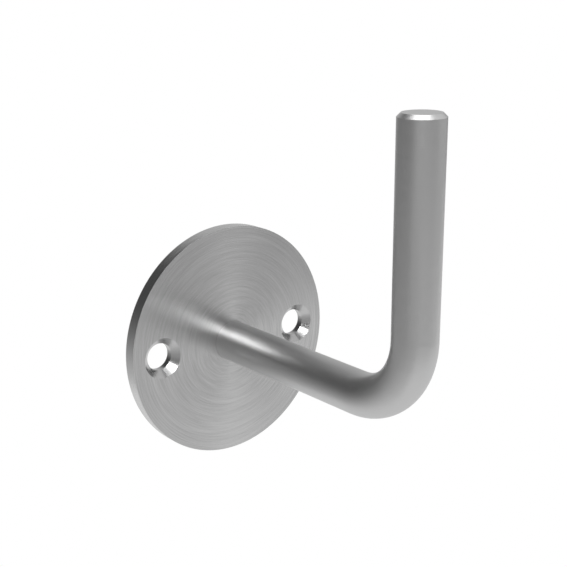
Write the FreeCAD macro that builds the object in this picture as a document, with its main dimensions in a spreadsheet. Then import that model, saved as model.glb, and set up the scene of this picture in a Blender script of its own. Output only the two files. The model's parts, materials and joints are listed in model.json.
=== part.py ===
# Wall handrail bracket: a round wall plate with two countersunk screw holes, one bent round bar
# that carries the rail, and the ring of weld metal that joins them behind the plate.
# The wall is the plane y = 0. The bar runs out along -Y from the plate's centre and then up along
# +Z. The origin is the centre of the plate's wall face. Sizes are millimetres and degrees.
import FreeCAD, Part
import math
import os

import Sketcher
from FreeCAD import Vector

DRIVING_SIZES = (
    ("plate_diameter", 70, "outside of the round wall plate"),
    ("plate_thickness", 4, "wall face to front face"),
    ("plate_edge_radius", 0.05, "edge broken round both rims of the plate"),
    ("screw_spacing", 50, "between the two screw holes, level with the bar"),
    ("screw_hole_diameter", 8.2, "through hole for a wall screw"),
    ("countersink_diameter", 12.2, "mouth of the cone for the screw's head"),
    ("countersink_angle", 90, "whole angle of that cone"),
    ("rod_diameter", 12, "round bar of the bracket"),
    ("seat_clearance", 0.02, "radial gap between the bar and its hole in the plate"),
    ("projection", 80, "wall face to the axis of the upright"),
    ("bend_radius", 20, "centre line of the bend"),
    ("rise", 75.5, "axis of the arm to the flat of the tip"),
    ("tip_chamfer", 1, "45 degree edge round the tip"),
    ("weld_depth", 2, "depth of the 45 degree weld groove behind the plate"),
)

BORE_RADIUS = "Sizes.rod_diameter / 2 + Sizes.seat_clearance"

POINT_START, POINT_END, POINT_CENTRE = range(1, 4)
SKETCH_LEVEL_AXIS = -1
SKETCH_ORIGIN = (-1, 1)
UNSET_RADIUS = 1
SAME_PLACE = 1e-6


def make_sheet(doc):
    """The spreadsheet of driving sizes: what each is, its value and its alias."""
    sheet = doc.addObject("Spreadsheet::Sheet", "Sizes")
    for row, (alias, value, meaning) in enumerate(DRIVING_SIZES, start=1):
        sheet.set(f"A{row}", meaning)
        sheet.set(f"B{row}", str(value))
        sheet.setAlias(f"B{row}", alias)
    doc.recompute()
    return sheet


def make_body(doc, node):
    """An empty body whose label is the name of its sub-part."""
    body = doc.addObject("PartDesign::Body", node)
    body.Label = node
    body.Placement = FreeCAD.Placement()
    return body


def add_sketch(body, name, role):
    """An empty sketch on the origin plane of its own body that has this role."""
    plane = next(each for each in body.Origin.OriginFeatures if each.Role == role)
    sketch = body.newObject("Sketcher::SketchObject", name)
    sketch.AttachmentSupport = [(plane, "")]
    sketch.MapMode = "FlatFace"
    return sketch


def tie(sketch, name, formula, kind, *geometry):
    """Adds one dimension to a sketch and binds it to the sheet."""
    drawn_size = float(sketch.evalExpression(formula))
    index = sketch.addConstraint(Sketcher.Constraint(kind, *geometry, drawn_size))
    sketch.renameConstraint(index, name)
    sketch.setExpression(f"Constraints.{name}", formula)


def draw_circle(sketch, place=Vector()):
    """A circle about a point of the sketch, whose size is still to be set."""
    return sketch.addGeometry(Part.Circle(place, Vector(0, 0, 1), UNSET_RADIUS))


def draw_centred_circle(sketch, name, formula):
    """A circle about the sketch's origin, with its diameter from the sheet."""
    circle = draw_circle(sketch)
    sketch.addConstraint(Sketcher.Constraint("Coincident", circle, POINT_CENTRE, *SKETCH_ORIGIN))
    tie(sketch, name, formula, "Diameter", circle)


def break_edges(body, kind, name, base, size_name, on_edge):
    """A chamfer or a fillet, of a size from the sheet, on the edges of a feature that on_edge picks."""
    edges = [f"Edge{i}" for i, edge in enumerate(base.Shape.Edges, start=1) if on_edge(edge)]
    cut = body.newObject(f"PartDesign::{kind}", name)
    cut.Base = (base, edges)
    cut.setExpression("Radius" if kind == "Fillet" else "Size", f"Sizes.{size_name}")
    body.Document.recompute()
    return cut


def is_ring(edge, middle, radius):
    """Whether an edge is a whole circle of this radius about this point."""
    if not isinstance(edge.Curve, Part.Circle) or not edge.isClosed():
        return False
    return (
        edge.Curve.Center.isEqual(middle, SAME_PLACE)
        and abs(edge.Curve.Radius - radius) < SAME_PLACE
    )


def make_wall_plate(doc, sheet):
    """A turned disc with a seat for the bar, a weld groove behind it and two countersunk holes."""
    body = make_body(doc, "wall_plate")

    outline = add_sketch(body, "PlateOutline", "XZ_Plane")
    draw_centred_circle(outline, "outside", "Sizes.plate_diameter")
    disc = body.newObject("PartDesign::Pad", "Disc")
    disc.Profile = outline
    disc.setExpression("Length", "Sizes.plate_thickness")
    doc.recompute()
    break_edges(
        body, "Fillet", "BrokenRims", disc, "plate_edge_radius",
        lambda edge: isinstance(edge.Curve, Part.Circle),
    )

    seat_outline = add_sketch(body, "SeatOutline", "XZ_Plane")
    draw_centred_circle(seat_outline, "seat", f"2 * ({BORE_RADIUS})")
    seat = body.newObject("PartDesign::Pocket", "BarSeat")
    seat.Profile = seat_outline
    seat.Type = "ThroughAll"
    seat.Midplane = True
    doc.recompute()
    seat_radius = sheet.rod_diameter / 2 + sheet.seat_clearance
    break_edges(
        body, "Chamfer", "WeldGroove", seat, "weld_depth",
        lambda edge: is_ring(edge, Vector(), seat_radius),
    )

    centres = add_sketch(body, "ScrewCentres", "XZ_Plane")
    centres.setExpression("AttachmentOffset.Base.z", "Sizes.plate_thickness")
    left = draw_circle(centres, Vector(-sheet.screw_spacing / 2, 0, 0))
    right = draw_circle(centres, Vector(sheet.screw_spacing / 2, 0, 0))
    for constraint in (
        ("PointOnObject", left, POINT_CENTRE, SKETCH_LEVEL_AXIS),
        ("Symmetric", left, POINT_CENTRE, right, POINT_CENTRE, *SKETCH_ORIGIN),
        ("Equal", left, right),
    ):
        centres.addConstraint(Sketcher.Constraint(*constraint))
    tie(centres, "spacing", "Sizes.screw_spacing", "DistanceX", left, POINT_CENTRE, right, POINT_CENTRE)
    tie(centres, "hole", "Sizes.screw_hole_diameter", "Diameter", left)
    doc.recompute()
    holes = body.newObject("PartDesign::Hole", "ScrewHoles")
    holes.Profile = centres
    holes.Threaded = False
    holes.DepthType = "ThroughAll"
    holes.HoleCutType = "Countersink"
    holes.HoleCutCustomValues = True
    holes.setExpression("Diameter", "Sizes.screw_hole_diameter")
    holes.setExpression("HoleCutDiameter", "Sizes.countersink_diameter")
    holes.setExpression("HoleCutCountersinkAngle", "Sizes.countersink_angle")
    doc.recompute()
    return body


def draw_bar_route(route, sheet):
    """The bar's centre line: the arm out from the wall, a tangent quarter bend, the upright."""
    bend_start = Vector(sheet.bend_radius - sheet.projection, 0, 0)
    bend_middle = bend_start + Vector(0, sheet.bend_radius, 0)
    bend_end = Vector(-sheet.projection, sheet.bend_radius, 0)
    tip = Vector(-sheet.projection, sheet.rise, 0)
    bend_circle = Part.Circle(bend_middle, Vector(0, 0, 1), sheet.bend_radius)
    arm = route.addGeometry(Part.LineSegment(Vector(), bend_start))
    bend = route.addGeometry(Part.ArcOfCircle(bend_circle, math.pi, 1.5 * math.pi))
    upright = route.addGeometry(Part.LineSegment(bend_end, tip))
    for constraint in (
        ("Coincident", arm, POINT_START, *SKETCH_ORIGIN),
        ("Horizontal", arm),
        ("Tangent", arm, POINT_END, bend, POINT_END),
        ("Tangent", bend, POINT_START, upright, POINT_START),
        ("Vertical", upright),
    ):
        route.addConstraint(Sketcher.Constraint(*constraint))
    tie(route, "bend", "Sizes.bend_radius", "Radius", bend)
    tie(route, "projection", "Sizes.projection", "DistanceX", upright, POINT_END, *SKETCH_ORIGIN)
    tie(route, "rise", "Sizes.rise", "DistanceY", *SKETCH_ORIGIN, upright, POINT_END)


def make_bent_rod(doc, sheet):
    """One round bar, bent once, with a chamfered tip and the root chamfered for the weld."""
    body = make_body(doc, "bent_rod")
    section = add_sketch(body, "BarSection", "XZ_Plane")
    draw_centred_circle(section, "thickness", "Sizes.rod_diameter")
    route = add_sketch(body, "BarRoute", "YZ_Plane")
    draw_bar_route(route, sheet)
    doc.recompute()
    bar = body.newObject("PartDesign::AdditivePipe", "Bar")
    bar.Profile = section
    bar.Spine = (route, ["Edge1", "Edge2", "Edge3"])
    doc.recompute()

    bar_radius = sheet.rod_diameter / 2
    tip = Vector(0, -sheet.projection, sheet.rise)
    tip_chamfer = break_edges(
        body, "Chamfer", "TipChamfer", bar, "tip_chamfer",
        lambda edge: is_ring(edge, tip, bar_radius),
    )
    break_edges(
        body, "Chamfer", "RootChamfer", tip_chamfer, "weld_depth",
        lambda edge: is_ring(edge, Vector(), bar_radius),
    )
    return body


def make_rear_weld(doc, sheet):
    """Weld metal that fills the groove round the bar's root, ground flush with the wall face."""
    body = make_body(doc, "rear_weld")
    section = add_sketch(body, "WeldSection", "XY_Plane")
    seat_radius = sheet.rod_diameter / 2 + sheet.seat_clearance
    corners = (
        Vector(sheet.rod_diameter / 2 - sheet.weld_depth, 0, 0),
        Vector(sheet.rod_diameter / 2, -sheet.weld_depth, 0),
        Vector(seat_radius, -sheet.weld_depth, 0),
        Vector(seat_radius + sheet.weld_depth, 0, 0),
    )
    against_bar, root, against_plate, wall_side = (
        section.addGeometry(Part.LineSegment(begin, end))
        for begin, end in zip(corners, corners[1:] + corners[:1])
    )
    for constraint in (
        ("Coincident", against_bar, POINT_END, root, POINT_START),
        ("Coincident", root, POINT_END, against_plate, POINT_START),
        ("Coincident", against_plate, POINT_END, wall_side, POINT_START),
        ("Coincident", wall_side, POINT_END, against_bar, POINT_START),
        ("PointOnObject", against_bar, POINT_START, SKETCH_LEVEL_AXIS),
        ("Horizontal", wall_side),
        ("Horizontal", root),
    ):
        section.addConstraint(Sketcher.Constraint(*constraint))
    for name, line, formula in (
        ("inner_rim", against_bar, "Sizes.rod_diameter / 2 - Sizes.weld_depth"),
        ("inner_root", root, "Sizes.rod_diameter / 2"),
        ("outer_root", against_plate, BORE_RADIUS),
        ("outer_rim", wall_side, f"{BORE_RADIUS} + Sizes.weld_depth"),
    ):
        tie(section, name, formula, "DistanceX", *SKETCH_ORIGIN, line, POINT_START)
    tie(section, "depth", "Sizes.weld_depth", "DistanceY", root, POINT_START, *SKETCH_ORIGIN)
    doc.recompute()

    ring = body.newObject("PartDesign::Revolution", "WeldRing")
    ring.Profile = section
    ring.ReferenceAxis = (section, ["V_Axis"])
    ring.Angle = 360
    doc.recompute()
    return body


def check_document(doc, bodies):
    """Stops before anything is written if a feature failed, cut nothing or left no whole solid."""
    cuts = ("PartDesign::Pocket", "PartDesign::Hole", "PartDesign::Chamfer", "PartDesign::Fillet")
    for each in doc.Objects:
        if "Invalid" in each.State or "Error" in each.State:
            raise RuntimeError(f"{each.Name} failed: {each.State}")
        if each.TypeId in cuts and each.Shape.Volume >= each.BaseFeature.Shape.Volume:
            raise RuntimeError(f"{each.Name} cut nothing")
        if each.TypeId == "Sketcher::SketchObject" and not each.FullyConstrained:
            raise RuntimeError(f"{each.Name} can still move")
    for body in bodies:
        shape = body.Shape
        if shape.isNull() or not shape.isValid() or len(shape.Solids) != 1:
            raise RuntimeError(f"{body.Label} is not one valid solid")


doc = FreeCAD.newDocument("handrail_bracket")
sizes = make_sheet(doc)
bodies = [
    make_wall_plate(doc, sizes),
    make_bent_rod(doc, sizes),
    make_rear_weld(doc, sizes),
]
doc.recompute()
check_document(doc, bodies)
os.makedirs("parts", exist_ok=True)
for body in bodies:
    body.Shape.exportStep(f"parts/{body.Label}.step")
    print(f"{body.Label}: {body.Shape.Volume:.2f} mm3")
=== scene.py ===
"""Finishes, floor, lights and camera for a round-bar handrail bracket.

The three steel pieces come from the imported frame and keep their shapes. This add-on gives each one
its procedural finish, and sets the stage for a picture of the bracket.
"""

import json
import math

import bpy
import numpy as np
from mathutils import Matrix, Vector


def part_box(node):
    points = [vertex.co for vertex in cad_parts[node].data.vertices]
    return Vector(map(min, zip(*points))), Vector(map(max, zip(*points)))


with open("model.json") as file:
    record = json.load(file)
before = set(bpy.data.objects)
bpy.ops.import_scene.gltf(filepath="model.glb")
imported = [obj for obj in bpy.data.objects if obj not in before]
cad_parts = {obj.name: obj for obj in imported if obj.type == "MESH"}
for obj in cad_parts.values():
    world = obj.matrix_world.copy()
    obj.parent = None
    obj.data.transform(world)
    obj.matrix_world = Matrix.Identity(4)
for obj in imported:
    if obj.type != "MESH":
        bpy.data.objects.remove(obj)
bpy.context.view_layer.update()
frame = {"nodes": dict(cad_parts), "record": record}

bl_info = {
    "name": "Handrail bracket finishes",
    "version": (1, 0, 0),
    "blender": (4, 5, 0),
    "location": "3D View > Sidebar > Bracket",
    "description": "Steel finishes, floor, lights and camera for a round-bar handrail bracket",
    "category": "Material",
}

MM = 0.001

# A row of nodes in the node editor, and the room for one node.
NODES_IN_ROW = 12
NODE_WIDTH, NODE_HEIGHT = 200, 240
# The sockets of a Mix node that blends colours.
MIX_SHARE, MIX_FIRST, MIX_SECOND, MIX_RESULT = 0, 6, 7, 2

plate_low, plate_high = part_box("wall_plate")
bar_low, bar_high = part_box("bent_rod")
screws = next(m for m in frame["record"]["mounts"] if m["name"] == "wall_screws")

# Sizes in millimetres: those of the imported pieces, and those that belong to their shape.
PLATE_RADIUS = plate_high.x / MM
PLATE_THICKNESS = (plate_high.y - plate_low.y) / MM
BAR_RADIUS = bar_high.x / MM
UPRIGHT_OUT = -bar_low.y / MM - BAR_RADIUS
TIP_HEIGHT = bar_high.z / MM
HOLE_OUT = screws["dims"]["spacing_x_mm"] / 2
HOLE_RADIUS = screws["dims"]["hole_r_mm"]
SINK_WIDTH = 2.0
SINK_RADIUS = HOLE_RADIUS + SINK_WIDTH
BEND_RADIUS = 20.0
TIP_CUT = 1.02

# How far from a face, from the rim and from the mouth of a cone a point still belongs to it, in
# millimetres.
FACE_SKIN = 0.005
RIM_SKIN = 0.25
SINK_SKIN = 0.1
# Width of the rim's broken edges, in millimetres, and how much rougher they are than the rim.
RIM_EDGE = 0.05
EDGE_ROUGHNESS = 0.5
# Keeps a radius that is divided by off zero, in millimetres.
LEAST_RADIUS = 0.01
# A fine ring of the plate and a scratch round the bar change their lean this often in a turn.
PLATE_ARCS = 7.0
BAR_ARCS = 14.0
# The sine of the steepest lean that chance can give.
STEEPEST = 0.96
# Rings in a millimetre of the face, and how fast a ring changes along its turn. Then how much the
# broad ones show in the tone, next to the crisp ones, and in the roughness.
BROAD_RINGS = (1.5, 1.6)
CRISP_RINGS = (4.5, 2.5)
BROAD_SHARE = 0.5
BROAD_ROUGHNESS = 0.01
# Rings in a millimetre of the rim and of the cones, how fast the rim's change along their turn,
# and how far the cones' lean.
RIM_RINGS = 40.0
RIM_DRIFT = 0.2
SINK_RINGS = 12.0
SINK_LEAN = 0.02
# Painted sheen: how much brighter the face's colour is painted above, below, left and right of
# its axis, standing in for light that the turned face reflects; how narrow the upright and the
# level rays are, and what the rest of the face gives up for them.
PAINTED_SHEEN_UP, PAINTED_SHEEN_DOWN, PAINTED_SHEEN_LEFT, PAINTED_SHEEN_RIGHT = 0.178, 0.122, 0.085, 0.187
UPRIGHT_FAN_POWER = 8.0
LEVEL_FAN_POWER = 6.0
PAINTED_SHEEN_REST = 0.045
# Painted sheen in the same way for the ray at the left of the rim.
RIM_PAINTED_SHEEN_LEFT = 0.33
RIM_FAN_POWER = 12.0

# Grains in a millimetre of the bar, and how much they show.
BAR_GRAINS = 6.0
GRAIN_TONE = 0.01
GRAIN_ROUGHNESS = 0.01
# Clouds in a millimetre across and along the bar, and how much they show.
BAR_CLOUDS = (0.12, 0.05)
CLOUD_ROUGHNESS = 0.02
TIP_TONE = 0.17

# Scratches in a millimetre of the weld, across and along them, and how much they show.
WELD_SCRATCHES = (14.0, 0.6)
WELD_LEAN = 0.08
WELD_ROUGHNESS = 0.04
WELD_CLOUDS = 0.4
WELD_TINT = 0.3
STRAW = (1.05, 0.98, 0.84)

# The camera's direction and roll in degrees. Then the point it aims at, its distance from there,
# and how far it is moved across and up in its own picture, in metres.
CAMERA_AZIMUTH, CAMERA_ELEVATION, CAMERA_ROLL = -39.04, 18.825, -0.529
CAMERA_TARGET = Vector((0.0, -0.035, 0.030))
CAMERA_DISTANCE = 0.302133
CAMERA_ACROSS, CAMERA_UP = -0.003885, -0.019225
# The picture's side, its focal length and the row that the camera looks straight at, in pixels.
PICTURE = 567.0
FOCAL_LENGTH = 1105.489
MIDDLE_ROW = 335.0
# Width of the sensor in millimetres, and the range in metres that the camera sees.
SENSOR = 36.0
NEAR, FAR = 0.01, 100.0

STUDIO_CENTRE = Vector((0.0, -0.04, 0.02))
LIGHT_DISTANCE = 1.5
# The studio is bright below the first of these heights and dim above the second. A height is the
# sine of an elevation.
LOW_BAND = (-0.948, 0.338)
# The pale wall starts at the first of these cosines of the angle from its middle and is whole at
# the second.
WALL_BAND = (0.737, 0.993)
FLOOR_CENTRE = (0.75, 0.301)
FLOOR_TURNS, FLOOR_RINGS = 96, 8
# Name, azimuth, elevation, half width, half height, all in degrees, and brightness.
LIGHTS = (
    ("key", -42.8, 43.1, 9.9, 12.9, 9.672),
    ("key_glow", -39.4, 52.8, 22.5, 17.3, 1.062),
    ("top", -32.9, 89.0, 24.2, 19.6, 2.041),
    ("strip", -53.5, 24.3, 26.7, 39.2, 0.168),
    ("low_fill", 10.9, -34.7, 40.0, 42.0, 0.182),
    ("side_fill", 70.3, 28.5, 31.2, 31.9, 0.625),
    ("rear", 123.3, -36.2, 9.5, 31.5, 0.426),
)


class Amount:
    """What a node socket gives, over the whole surface. Arithmetic on it adds Math nodes."""

    def __init__(self, nodes, socket):
        self.nodes = nodes
        self.socket = socket

    def math(self, operation, *terms):
        return self.nodes.node("ShaderNodeMath", {"operation": operation}, terms)

    def __add__(self, other):
        return self.math("ADD", self, other)

    def __radd__(self, other):
        return self.math("ADD", other, self)

    def __sub__(self, other):
        return self.math("SUBTRACT", self, other)

    def __rsub__(self, other):
        return self.math("SUBTRACT", other, self)

    def __mul__(self, other):
        return self.math("MULTIPLY", self, other)

    def __truediv__(self, other):
        return self.math("DIVIDE", self, other)

    def __neg__(self):
        return self.math("MULTIPLY", self, -1.0)

    def __abs__(self):
        return self.math("ABSOLUTE", self)

    def __gt__(self, limit):
        return self.math("GREATER_THAN", self, limit)

    def __lt__(self, limit):
        return self.math("LESS_THAN", self, limit)

    def root(self):
        return self.math("SQRT", self)

    def power(self, exponent):
        return self.math("POWER", self, exponent)

    def at_least(self, floor):
        return self.math("MAXIMUM", self, floor)

    def sign(self):
        return self.math("SIGN", self)

    def whole(self):
        return self.math("FLOOR", self)

    def wrapped(self, count):
        return self.math("FLOORED_MODULO", self, count)

    def angle_from(self, other):
        """The angle whose tangent is this amount over the other."""
        return self.math("ARCTAN2", self, other)

    def ramp(self, start, end):
        """Rises smoothly from 0 at start to 1 at end, and stays there."""
        settings = {"interpolation_type": "SMOOTHSTEP"}
        inputs = {"Value": self, "From Min": start, "From Max": end}
        return self.nodes.node("ShaderNodeMapRange", settings, inputs)


class Nodes:
    """Adds nodes to one node tree."""

    def __init__(self, tree):
        self.tree = tree

    def node(self, kind, settings, inputs, output=0):
        """Adds one node, sets its settings and then its sockets, and gives one of its outputs."""
        made = self.tree.nodes.new(kind)
        count = len(self.tree.nodes)
        made.location = (count % NODES_IN_ROW * NODE_WIDTH, -(count // NODES_IN_ROW) * NODE_HEIGHT)
        for name, value in settings.items():
            setattr(made, name, value)
        pairs = inputs.items() if isinstance(inputs, dict) else enumerate(inputs)
        for key, value in pairs:
            if isinstance(value, Amount):
                self.tree.links.new(value.socket, made.inputs[key])
            else:
                made.inputs[key].default_value = value
        return Amount(self, made.outputs[output]) if made.outputs else None


class Recipe(Nodes):
    """One procedural material, made node by node on Object coordinates in millimetres."""

    def __init__(self, name):
        self.material = bpy.data.materials.new(name)
        self.material.use_nodes = True
        super().__init__(self.material.node_tree)
        self.tree.nodes.clear()
        place = self.node("ShaderNodeTexCoord", {}, {}, "Object")
        in_mm = self.vector("SCALE", place, scale=1 / MM)
        self.x, self.y, self.z = (self.part(in_mm, axis) for axis in "XYZ")
        self.normal = self.node("ShaderNodeNewGeometry", {}, {}, "Normal")

    def vector(self, operation, *terms, scale=None):
        inputs = dict(enumerate(terms))
        if scale is not None:
            inputs["Scale"] = scale
        return self.node("ShaderNodeVectorMath", {"operation": operation}, inputs)

    def part(self, vector, axis):
        return self.node("ShaderNodeSeparateXYZ", {}, [vector], axis)

    def joined(self, x, y, z):
        return self.node("ShaderNodeCombineXYZ", {}, [x, y, z])

    def noise(self, place, detail=0.0):
        """Smooth noise from about -1 to 1, with one swing for each unit of place."""
        inputs = {"Vector": place, "Scale": 1.0, "Detail": detail, "Roughness": 0.5}
        return self.node("ShaderNodeTexNoise", {"noise_dimensions": "3D"}, inputs) * 2.0 - 1.0

    def chance(self, first, second):
        """An even chance from 0 to 1 for each pair of whole numbers."""
        place = self.joined(first, second, 0.0)
        return self.node("ShaderNodeTexWhiteNoise", {"noise_dimensions": "2D"}, {"Vector": place})

    def slope(self, first, second):
        """A chance slope for each pair of whole numbers: most are small, and a few are steep."""
        draw = self.chance(first, second) * (2.0 * STEEPEST) - STEEPEST
        return draw / (1.0 - draw * draw).root()

    def colours(self, share, first, second):
        """The first colour where share is 0, and the second where it is 1."""
        settings = {"data_type": "RGBA", "clamp_factor": True}
        inputs = {MIX_SHARE: share, MIX_FIRST: first, MIX_SECOND: second}
        return self.node("ShaderNodeMix", settings, inputs, MIX_RESULT)

    def shade(self, lighter, level):
        """A grey of this level, lighter by a share of up to a half, or darker where it is negative."""
        return self.colours(0.5 + lighter, grey(level * 0.5), grey(level * 1.5))

    def leaned(self, *leans):
        """The surface's normal, leaned by each direction times its amount."""
        total = self.normal
        for direction, amount in leans:
            total = self.vector("ADD", total, self.vector("SCALE", direction, scale=amount))
        return self.vector("NORMALIZE", total)

    def steel(self, colour, roughness, normal):
        """Ends the recipe in one metal shader, and gives the material."""
        inputs = {"Base Color": colour, "Roughness": roughness, "Normal": normal, "Metallic": 1.0}
        shader = self.node("ShaderNodeBsdfPrincipled", {}, inputs)
        self.node("ShaderNodeOutputMaterial", {}, {"Surface": shader})
        return self.material


def grey(level):
    return (level, level, level, 1.0)


def dress(node, material):
    """Puts the material in every slot of a CAD node."""
    piece = frame["nodes"][node]
    if not piece.material_slots:
        piece.data.materials.append(material)
    for slot in piece.material_slots:
        slot.material = material


def turned_plate_steel(finish):
    """Steel turned in a lathe: fine rings about the plate's axis, brighter cut countersinks, and a
    painted sheen in rays on the face and at the left of the rim.
    """
    recipe = Recipe("turned_plate_steel")
    x, y, z = recipe.x, recipe.y, recipe.z
    radius = (x * x + z * z).root().at_least(LEAST_RADIUS)
    along, up = x / radius, z / radius
    outward = recipe.joined(along, 0.0, up)
    beside_hole = abs(x) - HOLE_OUT
    from_hole = (beside_hole * beside_hole + z * z).root().at_least(LEAST_RADIUS)
    in_front = y < -PLATE_THICKNESS + FACE_SKIN
    at_back = y > -FACE_SKIN
    flat = in_front.at_least(at_back)
    rim = (radius > PLATE_RADIUS - RIM_SKIN) * (1.0 - flat)
    sink = (1.0 - flat) * (from_hole < SINK_RADIUS + SINK_SKIN)
    edge = rim * ((y < -PLATE_THICKNESS + RIM_EDGE) + (y > -RIM_EDGE))

    def rings(per_mm, drift):
        """Smooth rings about the axis that change slowly along their turn."""
        place = recipe.joined(radius * per_mm, along * drift, up * drift)
        return recipe.noise(place, detail=1.0)

    ring = (radius / finish.ring_pitch).whole()
    turn = z.angle_from(x) * (PLATE_ARCS / math.tau)
    arc = (turn + recipe.chance(ring, 0.0)).whole().wrapped(PLATE_ARCS)
    fine = recipe.slope(ring, arc)
    broad = rings(*BROAD_RINGS)
    crisp = rings(*CRISP_RINGS)
    lean = (fine * finish.ring_lean + broad * finish.ring_wave) * flat
    rim_rings = recipe.joined(y * RIM_RINGS, x * RIM_DRIFT, z * RIM_DRIFT)
    rim_lean = recipe.noise(rim_rings) * finish.rim_lean * rim
    sink_lean = recipe.noise(recipe.joined(from_hole * SINK_RINGS, 0.0, 0.0)) * SINK_LEAN * sink
    sink_out = recipe.vector("NORMALIZE", recipe.joined(x - x.sign() * HOLE_OUT, 0.0, z))
    inward = (0.0, 1.0, 0.0)
    normal = recipe.leaned((outward, lean), (inward, rim_lean), (sink_out, sink_lean))
    roughness = finish.roughness + broad * BROAD_ROUGHNESS
    roughness = roughness * (1.0 - sink) + sink * finish.cut_roughness + edge * EDGE_ROUGHNESS
    # Painted sheen: rays of lighter colour above, below, left and right of the axis, standing in for
    # reflected light.
    upright_ray = (up * up).power(UPRIGHT_FAN_POWER)
    upright_painted_sheen = upright_ray * ((z > 0.0) * PAINTED_SHEEN_UP + (z < 0.0) * PAINTED_SHEEN_DOWN)
    level_ray = (along * along).power(LEVEL_FAN_POWER)
    level_painted_sheen = level_ray * ((x > 0.0) * PAINTED_SHEEN_RIGHT + (x < 0.0) * PAINTED_SHEEN_LEFT)
    tone = (broad * BROAD_SHARE + crisp) * finish.ring_tone
    tone_and_painted_sheen = ((upright_painted_sheen + level_painted_sheen - PAINTED_SHEEN_REST) * finish.fan + tone) * flat
    # Painted sheen on the rim's colour, in a ray at its left, standing in for reflected light.
    rim_painted_sheen = (along * along).power(RIM_FAN_POWER) * (x < 0.0) * RIM_PAINTED_SHEEN_LEFT
    tone_and_painted_sheen = tone_and_painted_sheen + (rim_painted_sheen + finish.rim_tone) * rim
    colour = recipe.shade(tone_and_painted_sheen, finish.level)
    return recipe.steel(colour, roughness, normal)


def satin_bar_steel(finish):
    """Round bar with a fine, even satin grain, and a brighter cut chamfer and tip."""
    recipe = Recipe("satin_bar_steel")
    x, y, z = recipe.x, recipe.y, recipe.z
    past_arm = -y - (UPRIGHT_OUT - BEND_RADIUS)
    below_upright = BEND_RADIUS - z
    ahead = past_arm.at_least(0.0)
    under = below_upright.at_least(0.0)
    reach = (ahead * ahead + under * under).root()
    across = reach - BEND_RADIUS
    lengthwise = recipe.joined(0.0, -(under / reach), ahead / reach)
    turned = ahead.angle_from(under) * BEND_RADIUS
    along = turned - (-past_arm).at_least(0.0) + (-below_upright).at_least(0.0)
    grains = recipe.joined(x * BAR_GRAINS, across * BAR_GRAINS, along * BAR_GRAINS)
    grain = recipe.noise(grains, detail=2.0)
    crosswise, endwise = BAR_CLOUDS
    clouds = recipe.joined(x * crosswise, across * crosswise, along * endwise)
    soft = recipe.noise(clouds, detail=2.0)
    cut = z > TIP_HEIGHT - TIP_CUT
    scratch = (along / finish.scratch_pitch).whole()
    around = across.angle_from(x) * (BAR_ARCS / math.tau)
    strip = (around + recipe.chance(scratch, 0.0)).whole().wrapped(BAR_ARCS)
    lean = recipe.slope(scratch, strip) * finish.scratch_lean * (1.0 - cut)
    normal = recipe.leaned((lengthwise, lean))
    roughness = finish.roughness + soft * CLOUD_ROUGHNESS + grain * GRAIN_ROUGHNESS
    roughness = roughness * (1.0 - cut) + cut * finish.cut_roughness
    colour = recipe.shade(grain * GRAIN_TONE + cut * TIP_TONE, finish.level)
    return recipe.steel(colour, roughness, normal)


def ground_weld_steel(finish):
    """Weld metal ground flush: duller than the plate, scratched one way, faintly straw coloured."""
    recipe = Recipe("ground_weld_steel")
    x, y, z = recipe.x, recipe.y, recipe.z
    upward, level = WELD_SCRATCHES
    scratch = recipe.noise(recipe.joined(x * level, y, z * upward), detail=3.0)
    tint = recipe.noise(recipe.joined(x * WELD_CLOUDS, y, z * WELD_CLOUDS), detail=2.0)
    straw = (*(finish.level * part for part in STRAW), 1.0)
    colour = recipe.colours(WELD_TINT + tint * WELD_TINT, grey(finish.level), straw)
    normal = recipe.leaned(((0.0, 0.0, 1.0), scratch * WELD_LEAN))
    return recipe.steel(colour, finish.roughness + scratch * WELD_ROUGHNESS, normal)


class PlateFinish(bpy.types.PropertyGroup):
    """The turned finish of the wall plate."""

    level: bpy.props.FloatProperty(
        name="Grey level", description="How much light the steel gives back",
        default=0.571, min=0.1, max=1.0, subtype="FACTOR",
    )
    roughness: bpy.props.FloatProperty(
        name="Roughness", description="Softness of the plate's reflections",
        default=0.26, min=0.02, max=1.0, subtype="FACTOR",
    )
    cut_roughness: bpy.props.FloatProperty(
        name="Countersink roughness", description="Softness of the reflections in the screw holes",
        default=0.214, min=0.02, max=1.0, subtype="FACTOR",
    )
    ring_pitch: bpy.props.FloatProperty(
        name="Ring pitch", description="Distance between the lathe's rings, in millimetres",
        default=0.02, min=0.02, max=1.0,
    )
    ring_lean: bpy.props.FloatProperty(
        name="Ring lean", description="How far the sides of the fine rings lean",
        default=0.02, min=0.0, max=2.0,
    )
    rim_lean: bpy.props.FloatProperty(
        name="Rim lean", description="How far the sides of the rim's rings lean",
        default=0.2, min=0.0, max=1.0,
    )
    rim_tone: bpy.props.FloatProperty(
        name="Rim tone", description="How much lighter the rim is than the face",
        default=0.1, min=0.0, max=0.5,
    )
    ring_wave: bpy.props.FloatProperty(
        name="Ring wave", description="How far the broad rings lean", default=0.01, min=0.0, max=1.0
    )
    ring_tone: bpy.props.FloatProperty(
        name="Ring tone", description="How much lighter and darker the broad rings are",
        default=0.18, min=0.0, max=0.5,
    )
    # The fan is painted sheen: lighter colour in rays across the face, standing in for reflected
    # light.
    fan: bpy.props.FloatProperty(
        name="Fan", description="Strength of the fan of light that turning leaves on the face",
        default=1.0, min=0.0,
    )


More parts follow.
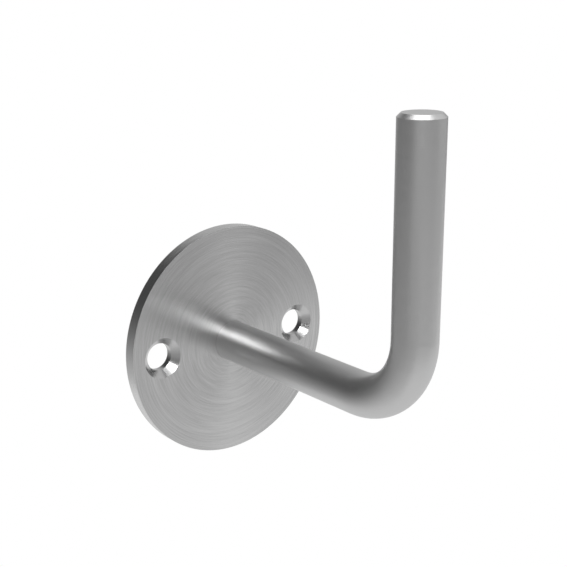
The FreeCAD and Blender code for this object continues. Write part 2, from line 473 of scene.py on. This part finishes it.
class BarFinish(bpy.types.PropertyGroup):
    """The satin finish of the bar."""

    level: bpy.props.FloatProperty(
        name="Grey level", description="How much light the steel gives back",
        default=0.598, min=0.1, max=1.0, subtype="FACTOR",
    )
    roughness: bpy.props.FloatProperty(
        name="Roughness", description="Softness of the bar's reflections",
        default=0.37, min=0.02, max=1.0, subtype="FACTOR",
    )
    cut_roughness: bpy.props.FloatProperty(
        name="Tip roughness", description="Softness of the reflections in the cut tip",
        default=0.393, min=0.02, max=1.0, subtype="FACTOR",
    )
    scratch_pitch: bpy.props.FloatProperty(
        name="Scratch pitch",
        description="Distance between the scratches round the bar, in millimetres",
        default=0.005, min=0.001, max=1.0,
    )
    scratch_lean: bpy.props.FloatProperty(
        name="Scratch lean", description="How far the sides of the scratches lean",
        default=0.068, min=0.0, max=1.0,
    )


class WeldFinish(bpy.types.PropertyGroup):
    """The ground finish of the weld."""

    level: bpy.props.FloatProperty(
        name="Grey level", description="How much light the weld gives back",
        default=0.48, min=0.1, max=1.0, subtype="FACTOR",
    )
    roughness: bpy.props.FloatProperty(
        name="Roughness", description="Softness of the weld's reflections",
        default=0.4, min=0.02, max=1.0, subtype="FACTOR",
    )


class StageSetup(bpy.types.PropertyGroup):
    """Floor, lights and camera."""

    floor_drop: bpy.props.FloatProperty(
        name="Floor drop", description="How far the floor lies below the bracket",
        default=0.3, unit="LENGTH",
    )
    floor_radius: bpy.props.FloatProperty(
        name="Floor radius", description="Radius of the pale floor", default=0.974, unit="LENGTH"
    )
    floor_brightness: bpy.props.FloatProperty(
        name="Floor brightness", description="Brightness of the floor", default=0.82, min=0.0
    )
    low_brightness: bpy.props.FloatProperty(
        name="Low brightness", description="Brightness of the studio below eye level",
        default=0.608, min=0.0,
    )
    wall_brightness: bpy.props.FloatProperty(
        name="Wall brightness", description="Brightness of the pale wall on the right",
        default=0.502, min=0.0,
    )
    wall_azimuth: bpy.props.FloatProperty(
        name="Wall azimuth", description="Where the pale wall is brightest, in degrees",
        default=144.4,
    )
    wall_elevation: bpy.props.FloatProperty(
        name="Wall elevation", description="How high the pale wall is brightest, in degrees",
        default=15.8,
    )
    studio_brightness: bpy.props.FloatProperty(
        name="Studio brightness", description="Brightness of the studio's other walls",
        default=0.069, min=0.0,
    )


def direction(azimuth, elevation):
    """Unit vector at an azimuth from straight out of the wall, towards +X, and an elevation."""
    a = math.radians(azimuth)
    e = math.radians(elevation)
    return Vector((math.sin(a) * math.cos(e), -math.cos(a) * math.cos(e), math.sin(e)))


def surface(name, points, material):
    """A mesh from a grid of points, rows by columns, with one quad between four neighbours."""
    rows, columns = points.shape[:2]
    corner = np.arange(rows * columns).reshape(rows, columns)
    quads = np.stack([corner[:-1, :-1], corner[1:, :-1], corner[1:, 1:], corner[:-1, 1:]], axis=-1)
    mesh = bpy.data.meshes.new(name)
    mesh.from_pydata(points.reshape(-1, 3).tolist(), [], quads.reshape(-1, 4).tolist())
    mesh.materials.append(material)
    piece = bpy.data.objects.new(name, mesh)
    bpy.context.scene.collection.objects.link(piece)
    return piece


def glow(name, brightness):
    """A material that only gives off light."""
    material = bpy.data.materials.new(name)
    material.use_nodes = True
    nodes = Nodes(material.node_tree)
    nodes.tree.nodes.clear()
    light = nodes.node("ShaderNodeEmission", {}, {"Strength": brightness})
    nodes.node("ShaderNodeOutputMaterial", {}, {"Surface": light})
    return material


def soft_light(name, azimuth, elevation, half_width, half_height, brightness):
    """A rectangular light that faces the bracket and spans the half angles given from there."""
    lamp = bpy.data.lights.new(name, "AREA")
    lamp.shape = "RECTANGLE"
    lamp.size = 2.0 * LIGHT_DISTANCE * math.tan(math.radians(half_width))
    lamp.size_y = 2.0 * LIGHT_DISTANCE * math.tan(math.radians(half_height))
    lamp.energy = math.pi * lamp.size * lamp.size_y * brightness
    light = bpy.data.objects.new(name, lamp)
    toward = direction(azimuth, elevation)
    right = direction(azimuth + 90.0, 0.0)
    turn = Matrix((right, toward.cross(right), toward)).transposed()
    place = STUDIO_CENTRE + toward * LIGHT_DISTANCE
    light.matrix_world = Matrix.Translation(place) @ turn.to_4x4()
    light.visible_camera = False
    bpy.context.scene.collection.objects.link(light)


def studio(setup):
    """A world that is dim above, brighter low down, and brightest towards a pale wall on the right.

    The camera itself sees plain white behind the bracket.
    """
    world = bpy.data.worlds.new("studio")
    world.use_nodes = True
    nodes = Nodes(world.node_tree)
    nodes.tree.nodes.clear()
    way = nodes.node("ShaderNodeTexCoord", {}, {}, "Generated")
    height = nodes.node("ShaderNodeSeparateXYZ", {}, [way], "Z")
    wall = tuple(direction(setup.wall_azimuth, setup.wall_elevation))
    cosine = {"operation": "DOT_PRODUCT"}
    aside = nodes.node("ShaderNodeVectorMath", cosine, [way, wall], "Value")
    low = (1.0 - height.ramp(*LOW_BAND)) * setup.low_brightness
    side = aside.ramp(*WALL_BAND) * setup.wall_brightness
    seen = nodes.node("ShaderNodeLightPath", {}, {}, "Is Camera Ray")
    strength = (low + side + setup.studio_brightness) * (1.0 - seen) + seen
    light = nodes.node("ShaderNodeBackground", {}, {"Color": grey(1.0), "Strength": strength})
    nodes.node("ShaderNodeOutputWorld", {}, {"Surface": light})
    return world


def set_camera():
    """The camera of the picture: a long lens, turned a little and shifted up."""
    azimuth, roll = math.radians(CAMERA_AZIMUTH), math.radians(CAMERA_ROLL)
    back = direction(CAMERA_AZIMUTH, CAMERA_ELEVATION)
    right = Vector((math.cos(azimuth), math.sin(azimuth), 0.0))
    up = back.cross(right)
    turned_right = math.cos(roll) * right + math.sin(roll) * up
    turned_up = -math.sin(roll) * right + math.cos(roll) * up
    middle = CAMERA_TARGET + turned_right * CAMERA_ACROSS + turned_up * CAMERA_UP
    camera = bpy.data.cameras.new("camera")
    camera.sensor_width = SENSOR
    camera.lens = FOCAL_LENGTH * SENSOR / PICTURE
    camera.shift_y = (MIDDLE_ROW - PICTURE / 2) / PICTURE
    camera.clip_start = NEAR
    camera.clip_end = FAR
    seat = bpy.data.objects.new("camera", camera)
    turn = Matrix((turned_right, turned_up, back)).transposed()
    seat.matrix_world = Matrix.Translation(middle + back * CAMERA_DISTANCE) @ turn.to_4x4()
    bpy.context.scene.collection.objects.link(seat)
    bpy.context.scene.camera = seat


class BRACKET_OT_wall_plate(bpy.types.Operator):
    """Give the wall plate its turned finish"""

    bl_idname = "bracket.wall_plate"
    bl_label = "Finish wall plate"

    def execute(self, context):
        dress("wall_plate", turned_plate_steel(context.scene.bracket_plate))
        return {"FINISHED"}


class BRACKET_OT_bent_rod(bpy.types.Operator):
    """Give the bent rod its satin finish"""

    bl_idname = "bracket.bent_rod"
    bl_label = "Finish bent rod"

    def execute(self, context):
        dress("bent_rod", satin_bar_steel(context.scene.bracket_bar))
        return {"FINISHED"}


class BRACKET_OT_rear_weld(bpy.types.Operator):
    """Give the rear weld its ground finish"""

    bl_idname = "bracket.rear_weld"
    bl_label = "Finish rear weld"

    def execute(self, context):
        dress("rear_weld", ground_weld_steel(context.scene.bracket_weld))
        return {"FINISHED"}


class BRACKET_OT_stage(bpy.types.Operator):
    """Set the floor, the lights and the camera"""

    bl_idname = "bracket.stage"
    bl_label = "Set the stage"

    def execute(self, context):
        setup = context.scene.bracket_stage
        turns = np.linspace(0, 2 * np.pi, FLOOR_TURNS + 1)
        shares = np.linspace(0, 1, FLOOR_RINGS + 1)
        turn, share = np.meshgrid(turns, shares, indexing="ij")
        reach = setup.floor_radius * share
        across = FLOOR_CENTRE[0] + reach * np.cos(turn)
        deep = FLOOR_CENTRE[1] + reach * np.sin(turn)
        disc = np.stack([across, deep, np.full_like(turn, -setup.floor_drop)], axis=-1)
        ground = surface("floor", disc, glow("pale_floor", setup.floor_brightness))
        ground.visible_camera = False
        context.scene.world = studio(setup)
        for light in LIGHTS:
            soft_light(*light)
        context.scene.view_settings.view_transform = "Standard"
        set_camera()
        return {"FINISHED"}


class BRACKET_PT_sidebar(bpy.types.Panel):
    """Lists the bracket's finishes and its stage"""

    bl_label = "Handrail bracket"
    bl_idname = "BRACKET_PT_sidebar"
    bl_space_type = "VIEW_3D"
    bl_region_type = "UI"
    bl_category = "Bracket"

    def draw(self, context):
        scene = context.scene
        for settings, operator in (
            (scene.bracket_plate, "bracket.wall_plate"),
            (scene.bracket_bar, "bracket.bent_rod"),
            (scene.bracket_weld, "bracket.rear_weld"),
            (scene.bracket_stage, "bracket.stage"),
        ):
            box = self.layout.box()
            for name in settings.__annotations__:
                box.prop(settings, name)
            box.operator(operator)


CLASSES = (
    PlateFinish,
    BarFinish,
    WeldFinish,
    StageSetup,
    BRACKET_OT_wall_plate,
    BRACKET_OT_bent_rod,
    BRACKET_OT_rear_weld,
    BRACKET_OT_stage,
    BRACKET_PT_sidebar,
)


def register():
    for item in CLASSES:
        bpy.utils.register_class(item)
    bpy.types.Scene.bracket_plate = bpy.props.PointerProperty(type=PlateFinish)
    bpy.types.Scene.bracket_bar = bpy.props.PointerProperty(type=BarFinish)
    bpy.types.Scene.bracket_weld = bpy.props.PointerProperty(type=WeldFinish)
    bpy.types.Scene.bracket_stage = bpy.props.PointerProperty(type=StageSetup)


def unregister():
    del bpy.types.Scene.bracket_stage
    del bpy.types.Scene.bracket_weld
    del bpy.types.Scene.bracket_bar
    del bpy.types.Scene.bracket_plate
    for item in reversed(CLASSES):
        bpy.utils.unregister_class(item)


def main():
    register()
    bpy.ops.bracket.wall_plate()
    bpy.ops.bracket.bent_rod()
    bpy.ops.bracket.rear_weld()
    bpy.ops.bracket.stage()


if __name__ == "__main__":
    main()
